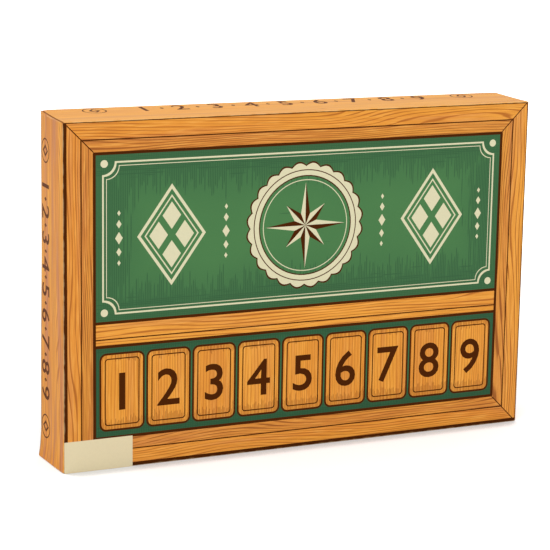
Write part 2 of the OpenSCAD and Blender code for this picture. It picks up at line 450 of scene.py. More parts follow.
printing = {
    # paler at the folds: scuffed board, and a painted highlight along each fold
    "rubbed": colour(244, 208, 150),
    "wear": 0.36,
    "ink": colour(74, 33, 3),
    "cream": colour(222, 216, 179),
    "streak": (248, 180, 88),
    "brightStreak": (246, 174, 56),
    "dullStreak": (196, 124, 84),
    "label": colour(228, 214, 176),
    "mark": colour(98, 50, 18),
    # the board's cut edges: turned-over print, darkened by painted shade so the slit beside each end wall
    # shows as a dark line
    "turnedEdgeAndShade": colour(168, 104, 52),
    "rawBoard": colour(170, 146, 116),
    "inside": colour(203, 195, 180),
    "roughness": 0.55,
    "specular": 0.15,
    "woodStroke": 0.0011,      # m between pen strokes
    "feltStroke": 0.0013,
}
woodKeys = ("light", "warm", "line", "strength", "grain", "pitch", "warp", "width", "streaks")
woods = {name: dict(zip(woodKeys, row)) for name, row in {
    "woodLevel": ((238, 161, 62), (228, 146, 54), (170, 92, 28), 0.8, alongX, 0.0023, 0.030, 0.34, 0.25),
    "woodUpright": ((237, 160, 64), (226, 144, 56), (162, 88, 28), 0.8, alongZ, 0.0024, 0.030, 0.34, 0.25),
    "innerLevel": ((222, 145, 60), (212, 134, 54), (148, 80, 28), 0.85, alongX, 0.0019, 0.026, 0.34, 0.2),
    "innerUpright": ((220, 143, 61), (210, 132, 56), (142, 76, 28), 0.85, alongZ, 0.0019, 0.026, 0.34, 0.2),
    "wallLevel": ((236, 170, 82), (231, 159, 74), (206, 130, 56), 0.6, alongX, 0.0026, 0.030, 0.32, 0.3),
    "wallUpright": ((234, 156, 54), (222, 140, 46), (180, 100, 30), 0.7, alongZ, 0.0025, 0.030, 0.32, 0.7),
    "block": ((238, 162, 62), (229, 149, 54), (190, 110, 36), 0.7, alongZ, 0.0021, 0.012, 0.32, 0.15),
}.items()}
greens = {
    "felt": {"middle": (72, 122, 71), "edge": (54, 100, 62), "stroke": (40, 76, 50), "reach": 0.048},
    "trench": {"middle": (52, 104, 66), "edge": (44, 86, 56), "stroke": (30, 64, 42), "reach": 0.022},
}


def boardMaterial(name, box, paint, shine=1.0):
    # paint(place) gives the print's colour; scuffed folds with a painted highlight along them, and the
    # board's surface, are laid over it
    low, high = box

    def surface(place):
        fold = {"Vector": place, "Half Size": (high - low) / 2, "Middle": (high + low) / 2}
        wearAndHighlightMask = useGroup(foldWearAndHighlight, fold)["Mask"] * printing["wear"]
        return {"Base Color": mixColour(wearAndHighlightMask, paint(place), printing["rubbed"]),
                "Roughness": printing["roughness"], "Specular IOR Level": printing["specular"] * shine,
                "Normal": (useGroup(boardSurface, {"Vector": place})["Height"], 0.25, 0.0006)}
    return newMaterial(name, surface)


def woodPaint(wood, shadedEnds=None):
    # grain lines on a base that wanders between two tones; strokes close up at the shaded ends
    def paint(place):
        drawn = drawGrain(place, wood, wood["width"])
        light, warm, line = colours(wood, "light", "warm", "line")
        tone = mixColour(remap(drawn["Tone"], 0.35, 0.65), light, warm)
        tone = tint(tone, line, 0.3, drawn["Fibre"], 0.45, 0.75)
        tone = tint(tone, colour(*printing["streak"]), 0.5, drawn["Fibre"], 0.5, 0.3)
        for key, low, high in (("brightStreak", 0.52, 0.64), ("dullStreak", 0.48, 0.36)):
            tone = tint(tone, colour(*printing[key]), wood["streaks"], drawn["Streak"], low, high)
        tone = mixColour(drawn["Lines"] * wood["strength"], tone, line)
        if shadedEnds is None:
            return tone
        parts = split(place)
        shade = remap(parts["Z"], *shadedEnds[:2], 0.9, 0.0) + remap(parts["Z"], *shadedEnds[2:], 0.0, 0.7)
        strokes = useGroup(penStrokes, {"Across": parts["X"], "Along": parts["Z"],
                                        "Pitch": printing["woodStroke"], "Shade": shade})
        return mixColour(strokes["Mask"] * 0.65, tone, mixTone(line, printing["ink"], 0.5))
    return paint


def feltPaint(green, area):
    # plain in the middle of the area; towards its sides it darkens under upright strokes,
    # and level ones at its top and bottom
    x0, z0, x1, z1 = [float(edge) for edge in area]

    def paint(place):
        parts = split(place)
        x, z = parts["X"], parts["Z"]
        fromEnd = least(z - z0, z1 - z)
        shade = remap(least(least(x - x0, x1 - x), fromEnd), 0.0, green["reach"], 1.0, 0.0)
        ends = remap(fromEnd, 0.0, green["reach"] * 0.6, 0.8, 0.0)
        upright, level = [useGroup(penStrokes, {"Across": across, "Along": along,
                                                "Pitch": printing["feltStroke"], "Shade": amount})["Mask"]
                          for across, along, amount in ((x, z, shade), (z, x, ends))]
        middle, edge, stroke = colours(green, "middle", "edge", "stroke")
        cloud = remap(noise(place, 16.0), 0.3, 0.7, -0.08, 0.08)
        soft = mixColour(calc("ADD", shade * 0.6, cloud, clamp=True), middle, edge)
        return mixColour(most(upright, level) * 0.55, soft, stroke)
    return paint


def flatPaint(tone):
    def paint(place):
        spots = noise(place, 700.0, 3.0, 0.6)
        return tint(tone, mixTone(tone, printing["ink"], 0.5), 0.06, spots, 0.35, 0.75)
    return paint


def rawBoardMaterial(name, tone):
    def surface(place):
        speck = mixTone(tone, printing["ink"], 0.45)
        return {"Base Color": tint(tone, speck, 0.35, noise(place, 900.0, 4.0, 0.7), 0.3, 0.7),
                "Roughness": 0.9, "Specular IOR Level": 0.2,
                "Normal": (noise(stretch(place, (0.2, 1, 1)), 1600.0, 2.0, 0.6), 0.4, 0.0002)}
    return newMaterial(name, surface)


board = {
    "thickness": 1.2,       # mm, all of this block
    "foldRadius": 1.05,
    "slit": 0.35,           # the end walls stop this far short of the box's height
    "rimCut": 4.0,          # corner cut off the long walls at the rim
    "gridStep": 9.0,
    "rimStep": 4.0,
    "leftRim": ([0, 0.1, 0.3, 0.6, 1], [-0.5, -0.5, -0.2, 0.7, 0.9]),     # share of the height, mm
    "leftFoot": ([0, 0.03, 0.08], [-2.0, -0.8, 0.0]),
    "topRim": ([-0.5, 0, 0.5], [2.0, 1.5, 0.9]),       # share of the width, mm
    "foldSteps": 4,
    "softening": 0.6,       # strip beside a fold that takes up its shading
    "flapWidth": 24.0,
    "flapRelief": 2.0,
    "flapCut": 2.5,
}


def boxOutline(width, height, depth):
    # a cross: the panel, and four walls that start one fold radius in from its corners; the end
    # walls widen over their fold with the sine of its turn, so that the folds close at the corner
    r, cut, slit = board["foldRadius"], board["rimCut"], board["slit"]
    reach = r * quarterTurn + depth - r
    turn = np.linspace(0, quarterTurn, board["foldSteps"] + 1)
    strip = columns(r - r * turn, height - r + (r - slit) * np.sin(turn))
    corner = np.concatenate([
        [(r + cut * 1.4, height - r + reach), (r, height - r + reach - cut * 0.4)], strip,
        [(r - reach + 0.8, height - slit), (r - reach, height - slit - 0.8)]])
    flipX, flipZ = np.array([-1, 1]), np.array([1, -1])
    across, up = np.array([width, 0]), np.array([0, height])
    return divided(closedLoop(np.concatenate([
        corner, (corner * flipZ + up)[::-1], corner * flipX * flipZ + across + up,
        (corner * flipX + across)[::-1]])), board["rimStep"])


def foldGuides(width, height):
    # lines on the sheet along each fold: its start, its steps, its end, and one softening line beside each
    r, arc = board["foldRadius"], board["foldRadius"] * quarterTurn
    steps = r - arc * np.linspace(0, 1, board["foldSteps"] + 1)
    marks = np.concatenate([[r + board["softening"]], steps, [r - arc - board["softening"]]])
    lines = [[[(m, r), (m, height - r)], [(width - m, r), (width - m, height - r)],
              [(r, m), (width - r, m)], [(r, height - m), (width - r, height - m)]] for m in marks]
    return [np.array(sum(lines, []), float)]


def folded(along, length):
    # place across the box and depth behind the panel of a point on the sheet: flat up to one
    # radius from the side, then a quarter circle, then straight back
    r = board["foldRadius"]
    over = np.maximum(np.maximum(r - along, along - (length - r)), 0)
    angle = np.minimum(over / r, quarterTurn)
    depth = r * (1 - np.cos(angle)) + np.maximum(over - r * quarterTurn, 0)
    out = r * np.sin(angle)
    place = np.where(along < r, r - out, np.where(along > length - r, length - r + out, along))
    return place, depth


def onWall(depth):
    # how far beyond the box's side a point of the sheet lies that folds to this depth
    return depth - board["foldRadius"] * (2 - quarterTurn)


def setUp(points, box, opensBack, bend):
    # takes mm behind and above the lower middle of a box's panel to the frame; the lid's panel faces
    # the front, and the base is the same box turned half round about Z
    low, high = box
    if bend is not None:
        points = bend(points, sizeOf(box))
    points = points * mm
    return points + (0, low.y, low.z) if opensBack else points * (-1, -1, 1) + (0, high.y, low.z)


def foldedBox(name, box, art, inks, opensBack, bend=None):
    width, depth, height = sizeOf(box)
    flat, faces, covering = cutSheet(boxOutline(width, height, depth), art, foldGuides(width, height),
                                     board["gridStep"])
    x, depthX = folded(flat[:, 0], width)
    z, depthZ = folded(flat[:, 1], height)
    points = setUp(columns(x - width / 2, depthX + depthZ, z), box, opensBack, bend)
    piece = addMesh(name, points, faces, list(inks.values()) + [insideBoard, turnedEdgeAndShade])
    wall = piece.modifiers.new("boardThickness", "SOLIDIFY")
    wall.thickness = board["thickness"] * mm
    wall.offset = -1
    wall.use_even_offset = True
    settle(piece)
    # the modifier puts the inner faces after the printed ones, and the cut edges last
    names = list(inks)
    slots = np.full(len(piece.data.polygons), len(names) + 1)
    slots[:len(faces)] = np.array([names.index(ink) for ink, shape in art])[covering]
    slots[len(faces):2 * len(faces)] = len(names)
    piece.data.polygons.foreach_set("material_index", slots.astype(np.int32))
    return piece


lidBox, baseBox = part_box("lid_board"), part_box("base_board")
(cartonW, cartonD, cartonH), (baseW, baseD, baseH) = sizeOf(lidBox), sizeOf(baseBox)

cover = {
    "bleed": 0.8,          # mm, all of this block: the panel's own print starts this far in
    "frame": 23.1,         # frame and its lines, in from the sides
    "heavyLine": (0.3, 2.9),    # left and bottom outline, from and to, in from the sides
    "lightLine": (0.6, 1.3),    # right and top outline
    "innerWidth": 2.0,
    "bead": 12.4,          # fine line along the frame's boards
    "seam": 1.0,
    "fineLine": 0.85,
    "bandTop": 87.0,       # top of the number band, from the carton's bottom
    "railWidth": 14.5,
    "railLine": 3.6,
    "borderInset": 4.5,
    "blockWidth": 30.0,
    "blockHeight": 52.0,
    "blockGap": 3.9,
    "numeral": 26.0,
    "sealRadius": 44.0,
    "lozenge": (50.0, 70.0),
    "lozengeOffset": 100.0,
    "chainOffsets": (60, 138),
    "labelPlace": (0.35, 0.1),
    "labelSize": (49.5, 22.0),
    "labelThickness": 0.15,
    "sideNumeral": 15.5,
    "sidePlace": 36.8,     # how deep behind the front the side numbers stand
    "sideSpan": 0.6,       # share of the wall's length from 1 to 9
    "sideEnd": 0.4,        # share from its middle to a ringed lozenge
}
frameEdge = cover["frame"]
railTop = cover["bandTop"] + cover["railWidth"] + cover["innerWidth"]
bandMiddle = (frameEdge + cover["bandTop"] - cover["innerWidth"]) / 2


def within(width, height, edge, radius=0):
    return rectangle(edge, edge, width - edge, height - edge, radius)


def frameArt(width, height, inner):
    # four mitred boards with a finer line along each, outlined more heavily at the left and the bottom
    a, b = cover["bleed"], frameEdge - cover["innerWidth"]
    mid, fine, seam = cover["bead"], cover["fineLine"], cover["seam"]
    art = [("woodLevel", within(width, height, a))]
    for level, upright, edge in (("woodLevel", "woodUpright", a), ("innerLevel", "innerUpright", mid)):
        stile = np.array([(edge, edge), (b, b), (b, height - b), (edge, height - edge)])
        art += [(level, within(width, height, edge)),
                (upright, closedLoop(stile)), (upright, closedLoop(stile * (-1, 1) + (width, 0)))]
    mitre = np.array([(a, a), (b, b), (b + seam, b), (a + seam, a)])
    art += [("ink", closedLoop(mitre * turn + place)) for turn, place in
            [((1, 1), (0, 0)), ((-1, 1), (width, 0)), ((1, -1), (0, height)), ((-1, -1), (width, height))]]
    (h0, h1), (l0, l1) = cover["heavyLine"], cover["lightLine"]
    art += [("ink", rectangle(*ends)) for ends in [
        (mid, mid, mid + fine, height - mid), (width - mid - fine, mid, width - mid, height - mid),
        (mid, mid, width - mid, mid + fine), (mid, height - mid - fine, width - mid, height - mid),
        (h0, h0, h1, height - l0), (h0, h0, width - l0, h1),
        (width - l1, h0, width - l0, height - l0), (h0, height - l1, width - l0, height - l0)]]
    return art + [("ink", within(width, height, b, 1)), (inner, within(width, height, frameEdge))]


def borderArt(x0, y0, x1, y1, ground):
    # a cream line with cut-in corners, a finer one inside it, and a small disc in each corner
    inset = cover["borderInset"]
    art = []
    for gap, thick in ((inset, 1.2), (inset + 2.8, 0.5)):
        for ink, edge in (("cream", 0), (ground, thick)):
            k = gap + edge
            art.append((ink, rectangle(x0 + k, y0 + k, x1 - k, y1 - k, 9, 8, True)))
    k = inset + 1.5
    return art + [("cream", moved(disc(2.6, 24), x, y)) for x in (x0 + k, x1 - k) for y in (y0 + k, y1 - k)]


def lozengeArt(x, y, ground):
    # nested lozenges round four small ones
    w, h = cover["lozenge"]
    rings = [("cream", 1.0), (ground, 0.9), ("cream", 0.79), (ground, 0.745)]
    art = [(ink, moved(lozenge(w * share, h * share), x, y)) for ink, share in rings]
    return art + [("cream", moved(lozenge(w * 0.27, h * 0.27), x + dx * w, y + dy * h))
                  for dx, dy in ((0, 0.19), (0, -0.19), (0.19, 0), (-0.19, 0))]


def chainArt(x, y):
    # an upright row of small lozenges, largest in the middle
    return [("cream", moved(lozenge(0.64 * size, size), x, y + lift))
            for lift, size in ((0, 8.5), (-9.5, 5.8), (9.5, 5.8), (-17, 3.8), (17, 3.8))]


def starArt(x, y, radius, rays=8, waist=9.0):
    # each ray of the star has a light and a dark half, and every other ray is shorter
    art = []
    for k in range(rays):
        reach = radius if k % 2 == 0 else radius * 0.68
        for bend, ink in ((math.pi / rays, "cream"), (-math.pi / rays, "ink")):
            ray = closedLoop([(0, 0), (reach, 0), (waist * math.cos(bend), waist * math.sin(bend))])
            art.append((ink, moved(ray, x, y, quarterTurn + 2 * math.pi * k / rays)))
    return art


def sealArt(x, y, ground):
    r = cover["sealRadius"]
    rings = [("ink", scallop(r + 1.2, 24, 2.6)), ("cream", scallop(r, 24, 2.4)), ("ink", disc(r - 4.6)),
             ("cream", disc(r - 5.3)), ("ink", disc(r - 8.6)), (ground, disc(r - 9.4)),
             ("cream", disc(r - 11.6)), (ground, disc(r - 12.2))]
    return [(ink, moved(shape, x, y)) for ink, shape in rings] + starArt(x, y, r - 13.5)


def blockArt(number, x, y):
    # an upright wooden block with a line round its face and a plain numeral
    art = []
    for ink, inset, radius in (("ink", -1.4, 5.0), ("block", 0, 3.6), ("ink", 2.4, 2.4), ("block", 3.2, 1.7)):
        halfW, halfH = cover["blockWidth"] / 2 - inset, cover["blockHeight"] / 2 - inset
        art.append((ink, rectangle(x - halfW, y - halfH, x + halfW, y + halfH, radius)))
    return art + [("ink", moved(numeral(str(number), cover["numeral"]), x, y))]


def coverArt():
    # the front: a green panel with a star seal and two lozenges, over a row of nine number blocks
    art = frameArt(cartonW, cartonH, "felt")
    w, edge, far = cover["innerWidth"], frameEdge, cartonW - frameEdge
    bandTop, low, high = cover["bandTop"], railTop, cartonH - frameEdge
    line = bandTop + cover["railLine"]
    art += [("ink", rectangle(edge, bandTop - w, far, low)),
            ("woodLevel", rectangle(edge, bandTop, far, low - w)),
            ("ink", rectangle(edge, line, far, line + cover["fineLine"])),
            ("trench", rectangle(edge, edge, far, bandTop - w))]
    step = cover["blockWidth"] + cover["blockGap"]
    for number in range(1, 10):
        art += blockArt(number, cartonW / 2 + (number - 5) * step, bandMiddle)
    middle = (low + high) / 2
    art += borderArt(edge, low, far, high, "felt") + sealArt(cartonW / 2, middle, "felt")
    for side in (-1, 1):
        art += lozengeArt(cartonW / 2 + side * cover["lozengeOffset"], middle, "felt")
        for offset in cover["chainOffsets"]:
            art += chainArt(cartonW / 2 + side * offset, middle)
    return art


def sideMarks(length, x, y, turn):
    # numbers 1 to 9 with small lozenges between, along a wall, and a ringed lozenge at each end
    step = length * cover["sideSpan"] / 8
    shapes = [moved(numeral(str(k + 1), cover["sideNumeral"]), (k - 4) * step, 0) for k in range(9)]
    shapes += [moved(lozenge(3.0, 5.0), (k - 3.5) * step, 0) for k in range(8)]
    shapes += [moved(shape, side * length * cover["sideEnd"], 0) for side in (-1, 1)
               for shape in (disc(8.5, 40), disc(7.5, 40), lozenge(8.5, 11.5), lozenge(4.5, 6.2))]
    # overlapping rings cancel out in the even-odd rule, so they go in as one shape
    return [("mark", moved(np.concatenate(shapes), x, y, turn))]


def woodGround(width, height, depth):
    # the walls' wood, which goes on a little past the folds
    bleed = cover["bleed"]
    wall = rectangle(bleed, -depth, width - bleed, 0.9)
    return [("wallUpright", rectangle(-depth, 0, width + depth, height)),
            ("woodUpright", rectangle(bleed, 0, width - bleed, height)),
            ("wallLevel", wall), ("wallLevel", wall * (1, -1) + (0, height))]


def lidArt():
    rim, line = onWall(cartonD - 1.1), onWall(cover["sidePlace"])
    art = woodGround(cartonW, cartonH, cartonD)
    for x0, x1 in ((-cartonD, -rim), (cartonW + rim, cartonW + cartonD)):
        art.append(("rawEdge", divided(rectangle(x0, 0, x1, cartonH), board["rimStep"])))
    for length, x, y, turns in ((cartonW, cartonW / 2, cartonH + line, 0), (cartonW, cartonW / 2, -line, 2),
                                (cartonH, -line, cartonH / 2, -1), (cartonH, cartonW + line, cartonH / 2, 1)):
        art += sideMarks(length, x, y, turns * quarterTurn)
    return art + coverArt()


def baseArt():
    art = woodGround(baseW, baseH, baseD) + frameArt(baseW, baseH, "felt")
    art += borderArt(frameEdge, frameEdge, baseW - frameEdge, baseH - frameEdge, "felt")
    for offset in (-1, 0, 1):
        art += lozengeArt(baseW / 2 + offset * cover["lozengeOffset"], baseH / 2, "felt")
    for offset in (-0.5, 0.5):
        art += chainArt(baseW / 2 + offset * cover["lozengeOffset"], baseH / 2)
    return art


def rimLean(points, size):
    # the left wall leans in at the top and its foot spreads out; the top wall's rim rises, more at
    # the left; all grow towards the rim
    width, depth, height = size
    x, y, z = points.T
    reach, foot = (y / depth) ** 1.6, np.clip(y / depth, 0, 1) ** 0.5
    left = np.clip(1 - (x + width / 2 - 2 * board["thickness"]) / 4, 0, 1)
    top = np.clip(1 - (height - 2 * board["thickness"] - z) / 4, 0, 1)
    bent = points.copy()
    bent[:, 0] += left * (reach * np.interp(z / height, *board["leftRim"])
                          + foot * np.interp(z / height, *board["leftFoot"]))
    bent[:, 2] += top * reach * np.interp(x / width, *board["topRim"])
    return bent


def area(width, bottom, top, low):
    return ((-width / 2 + frameEdge) * mm, low + bottom * mm, (width / 2 - frameEdge) * mm, low + top * mm)


def inkSet(box, label, feltArea, bandArea):
    # one material for each ink of a board; its name on the sheet is its key here
    blockEnds = [(bandMiddle + share * cover["blockHeight"]) * mm for share in (-0.5, -0.2, 0.32, 0.5)]
    paints = {name: (woodPaint(wood, blockEnds if name == "block" else None), 1.0)
              for name, wood in woods.items()}
    paints["felt"] = (feltPaint(greens["felt"], feltArea), 1.0)
    paints["trench"] = (feltPaint(greens["trench"], bandArea), 1.0)
    for name, shine in (("ink", 0.2), ("cream", 1.0), ("mark", 0.2)):
        paints[name] = (flatPaint(printing[name]), shine)
    inks = {name: boardMaterial(label + name.capitalize(), box, *paint) for name, paint in paints.items()}
    inks["rawEdge"] = rawBoardMaterial(label + "RawEdge", printing["rawBoard"])
    return inks


insideBoard = rawBoardMaterial("insideBoard", printing["inside"])
# cut edges in a darker print colour that partly stands in for painted shade along the slits
turnedEdgeAndShade = rawBoardMaterial("turnedEdgeAndShade", printing["turnedEdgeAndShade"])
lidInks = inkSet(lidBox, "lid", area(cartonW, railTop, cartonH - frameEdge, 0),
                 area(cartonW, frameEdge, cover["bandTop"], 0))
wholeBack = area(baseW, frameEdge, baseH - frameEdge, baseBox[0].z)
baseInks = inkSet(baseBox, "base", wholeBack, wholeBack)


def cornerFlaps(name, box, opensBack, bend=None):
    # four flaps glued inside the end walls, each cut back a little at its free end
    width, depth, height = sizeOf(box)
    t, wide, cut = board["thickness"], board["flapWidth"], board["flapCut"]
    near, far = t, depth - board["flapRelief"]
    outline = np.array([(near, 0), (far - 1, 0), (far, 1), (far - cut, wide), (near + cut, wide)])
    parts = []
    for side in (-1, 1):
        for end in (-1, 1):
            z = t + outline[:, 1] if end < 0 else height - t - outline[:, 1]
            # a mirrored flap starts from its other face, so that all are wound the same way
            xs = [side * (width / 2 - inward) for inward in (2 * t, t + 0.02)][::side * end]
            parts.append(tube(np.stack([columns(x, outline[:, 0], z) for x in xs])))
    points, faces = merged(parts)
    piece = addMesh(name, setUp(points, box, opensBack, bend), faces, [insideBoard])
    addBevel(piece, 0.25 * mm)
    return settle(piece)


def foldedBoard(body, node, box, art, inks, opensBack, bend=None):
    piece = foldedBox(body + "Board", box, art, inks, opensBack, bend)
    flaps = cornerFlaps(body + "Flaps", box, opensBack, bend)
    for part in (piece, flaps):
        dress(part, body, node)
    print(body, "folded:", len(piece.data.polygons), "faces")


foldedBoard("lid", "lid_board", lidBox, lidArt(), lidInks, True, rimLean)
foldedBoard("base", "base_board", baseBox, baseArt(), baseInks, False)


def addLabel():
    # a blank paper label on the lower left corner of the lid's front
    outline = rectangle(*cover["labelPlace"], *cover["labelSize"], 0.4, 4)[:, 0]
    front = lidBox[0].y / mm
    sheets = [columns(outline[:, 0] - cartonW / 2, y, outline[:, 1])
              for y in (front - cover["labelThickness"], front + 0.02)]
    points, faces = tube(np.stack(sheets) * mm)
    paper = boardMaterial("labelPaper", lidBox, flatPaint(printing["label"]))
    dress(settle(addMesh("blankLabel", points, faces, [paper])), "lid")


addLabel()

timberKeys = ("light", "dark", "grain", "pitch", "warp", "roughness", "coat")
timber = {name: dict(zip(timberKeys, row)) for name, row in {
    "pineLevel": ((226, 186, 128), (176, 120, 66), alongX, 0.0052, 0.05, 0.42, 0.25),
    "pineUpright": ((226, 186, 128), (176, 120, 66), alongZ, 0.0052, 0.05, 0.42, 0.25),
    "turnedWood": ((196, 138, 76), (140, 82, 34), alongX, 0.0016, 0.01, 0.45, 0.15),
    "stainedBeech": ((206, 140, 70), (140, 82, 34), alongZ, 0.0026, 0.02, 0.4, 0.3),
    "plywood": ((214, 180, 134), (164, 122, 78), alongX, 0.0085, 0.09, 0.62, 0.0),
}.items()}


def timberMaterial(name, pieceStep=None):
    # growth rings as soft dark lines, pores along them, and a slow change of tone;
    # pieceStep cuts the wood of neighbouring pieces from different places
    wood = timber[name]
    (light, dark), rough = colours(wood, "light", "dark"), wood["roughness"]

    def surface(place):
        if pieceStep:
            step = calc("FLOOR", split(place)["X"] / pieceStep)
            place = vectorMath("ADD", place, vectorMath("SCALE", (0.113, 0.271, 0.383), step))
        drawn = drawGrain(place, wood, 0.5)
        tone = tint(light, dark, 0.4, drawn["Tone"], 0.3, 0.7)
        tone = mixColour(drawn["Lines"] * 0.55, tone, dark)
        pores = remap(drawn["Fibre"], 0.5, 0.75)
        return {"Base Color": mixColour(pores * 0.5, tone, mixTone(dark, printing["ink"], 0.35)),
                "Roughness": remap(drawn["Fibre"], 0.3, 0.7, rough - 0.06, rough + 0.1),
                "Coat Weight": wood["coat"], "Coat Roughness": 0.25, "Specular IOR Level": 0.4,
                "Normal": (pores * -0.6 + drawn["Lines"] * 0.5, 0.35, 0.0002)}
    return newMaterial(name, surface)


def plywoodSurface(place):
    # the face veneer runs along X; through the thickness, every other ply shows dark end grain
    wood = timber["plywood"]
    drawn = drawGrain(place, wood, 0.45)
    light, dark = colours(wood, "light", "dark")
    face = tint(mixColour(drawn["Lines"] * 0.4, light, dark), dark, 0.4, drawn["Fibre"], 0.5, 0.75)
    low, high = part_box("tray_panel")
    depth = (split(place)["Y"] - low.y) / (high.y - low.y)
    ply = remap(calc("PINGPONG", depth * 3.0, 1.0), 0.45, 0.6)
    core = mixColour(ply, face, mixTone(dark, printing["ink"], 0.25))
    inner = remap(calc("PINGPONG", depth, 0.5), 0.02, 0.04)
    return {"Base Color": mixColour(inner, face, core), "Roughness": wood["roughness"],
            "Normal": (drawn["Fibre"], 0.3, 0.0002)}


def feltSurface(place):
    # matted wool: tufts of short fibres lying every way, with a pale sheen
    crossed = [noise(addNode(place.tree, "ShaderNodeMapping",
                             {"Vector": place, "Rotation": (0, turn, 0), "Scale": (6, 1, 1)},
                             vector_type="TEXTURE"), 3000.0, 2.0, 0.6) for turn in (0.3, 1.0, 1.9, 2.6)]
    hairs = most(most(*crossed[:2]), most(*crossed[2:]))
    tone = mixColour(remap(noise(place, 45.0, 3.0, 0.6), 0.3, 0.7), colour(33, 101, 59), colour(39, 111, 65))
    tone = tint(tone, colour(84, 150, 100), 0.4, hairs, 0.6, 0.75)
    tone = tint(tone, colour(14, 54, 32), 0.4, hairs, 0.58, 0.48)
    return {"Base Color": tone, "Roughness": 0.95, "Specular IOR Level": 0.1,
            "Sheen Weight": 0.35, "Sheen Roughness": 0.5, "Normal": (hairs, 0.8, 0.0005)}


def metalMaterial(name, tone, roughness, drawnAlong):
    def surface(place):
        lines = noise(stretch(place, drawnAlong), 2200.0, 3.0, 0.6)
        spots = remap(noise(place, 160.0, 3.0, 0.6), 0.35, 0.75)
        return {"Base Color": mixColour(spots, colour(*tone), colour(*[0.72 * part for part in tone])),
                "Roughness": remap(lines, 0.3, 0.7, roughness - 0.08, roughness + 0.12),
                "Metallic": 1.0, "Normal": (lines, 0.2, 0.00005)}
    return newMaterial(name, surface)


def dressNode(node, material, bevel=0.0, sharpAngle=25):
    # a merged copy of a CAD node with its edges eased, in its node's place
    words = node.split("_")
    piece = nodeCopy(node, words[0] + "".join(word.capitalize() for word in words[1:]), material)
    if bevel:
        addBevel(piece, bevel * mm)
    dress(settle(piece, sharpAngle), bodies[node], node)


edge = 0.35     # mm, rounding of a sawn and sanded edge
pineLevel, pineUpright = timberMaterial("pineLevel"), timberMaterial("pineUpright")
felt = newMaterial("woolFelt", feltSurface)
for node, slot, material, bevel in (
        ("tray_wall_top", "pine", pineLevel, edge), ("tray_wall_bottom", "pine", pineLevel, edge),
        ("divider_rail", "pine", pineLevel, edge), ("rest_ledge", "pine", pineLevel, edge),
        ("tray_wall_left", "pine", pineUpright, edge), ("tray_wall_right", "pine", pineUpright, edge),
        ("tray_panel", "plywood", newMaterial("plywood", plywoodSurface), 0.2),
        ("field_felt", "green_felt", felt, 0.3), ("trench_felt", "green_felt", felt, 0.3),
        ("tile_rod", "steel_rod", metalMaterial("drawnSteel", (196, 198, 202), 0.3, (0.03, 1, 1)), 0.25)):
    dressNode(node, material, bevel)

nails = {
    "columns": 5,
    "rows": 2,             # between the top and the bottom row
    "headRadius": 1.3,     # mm, the rest of this block but the sides
    "shankRadius": 0.6,
    "tipRadius": 0.01,
    "point": 1.4,
    "headSink": 0.6,
    "dome": 0.06,
    "sides": 24,
}


def panelNails():
    # a profile of radius and height turned about each nail's axis: point, shank, head and low dome
    low, high = np.array(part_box("panel_nails")) / mm
    head, shank, tip, sink, sides = [nails[key] for key in ("headRadius", "shankRadius", "tipRadius",
                                                            "headSink", "sides")]
    foot = low[1] - high[1]
    rise = np.linspace(0, quarterTurn, 6)
    radii = np.concatenate([[tip, shank, shank, head], head * np.cos(rise[:-1] * 0.8), [tip]])
    domes = nails["dome"] * (0.25 + 0.75 * np.sin(rise))
    depths = np.concatenate([[foot, foot + nails["point"], -sink, -sink], domes])
    angles = np.linspace(0, 2 * math.pi, sides, endpoint=False)
    rings = columns(np.outer(radii, np.cos(angles)), depths[:, None], np.outer(radii, np.sin(angles)))
    xs, zs = np.linspace(low[0] + head, high[0] - head, nails["columns"]), (low[2] + head, high[2] - head)
    spots = [(x, z) for z in zs for x in xs]
    spots += [(x, z) for x in xs[[0, -1]] for z in np.linspace(*zs, nails["rows"] + 2)[1:-1]]
    points, faces = merged([tube((rings + (x, high[1], z)) * mm) for x, z in spots])
    steel = metalMaterial("nailSteel", (166, 167, 170), 0.38, (1, 1, 1))
    piece = settle(addMesh("panelNails", points, faces, [steel]), 40)
    dress(piece, bodies["panel_nails"], "panel_nails")


panelNails()
dressNode("rod_spacers", timberMaterial("turnedWood"))
print("tray dressed")

tiles = {
    "numeral": 17.0,       # mm, height
    "fromAxis": 16.5,      # mm, numeral's middle from the rod's axis
    "sunk": 0.15,          # mm, how deep the printed numeral's body reaches into the wood
    "proud": 0.04,
}


def plate(shape, thickness):
    # a flat shape as a closed body, half its thickness to each side: the sheet, its copy turned
    # over, and a wall along every edge that only one triangle uses
    flat, faces, _ = cutSheet(shape, [], [], 100)
    n = len(flat)
    points = np.concatenate([columns(*flat.T, side * thickness / 2) for side in (1, -1)])
    a, b = np.concatenate([faces[:, [0, 1]], faces[:, [1, 2]], faces[:, [2, 0]]]).T
    rim = ~np.isin(a * n + b, b * n + a)
    walls = np.stack([b[rim], a[rim], a[rim] + n, b[rim] + n], axis=1)
    return points, faces.tolist() + (faces[:, ::-1] + n).tolist() + walls.tolist()


def addTileNumber(number, ink):
    # stands upright on the tile's front when the tile is turned up; so at rest, half a turn
    # about the rod's axis, it hangs upside down on the back
    name = "tile_" + str(number)
    low, high = np.array(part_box(name))
    axis = sum(np.array(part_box("tile_rod"))) / 2
    points, faces = plate(numeral(str(number), tiles["numeral"]), tiles["sunk"] + tiles["proud"])
    across, up, out = points.T * mm
    face = high[1] - axis[1] + (tiles["proud"] - tiles["sunk"]) / 2 * mm
    points = columns((low[0] + high[0]) / 2 + across, axis[1] + face + out,
                     axis[2] - tiles["fromAxis"] * mm - up)
    dress(settle(addMesh("tileNumber_" + str(number), points, faces, [ink])), name)


def inkSurface(place):
    fleck = noise(place, 900.0, 3.0, 0.6)
    return {"Base Color": tint(colour(34, 24, 18), colour(84, 54, 32), 0.5, fleck, 0.4, 0.8),
            "Roughness": 0.5}


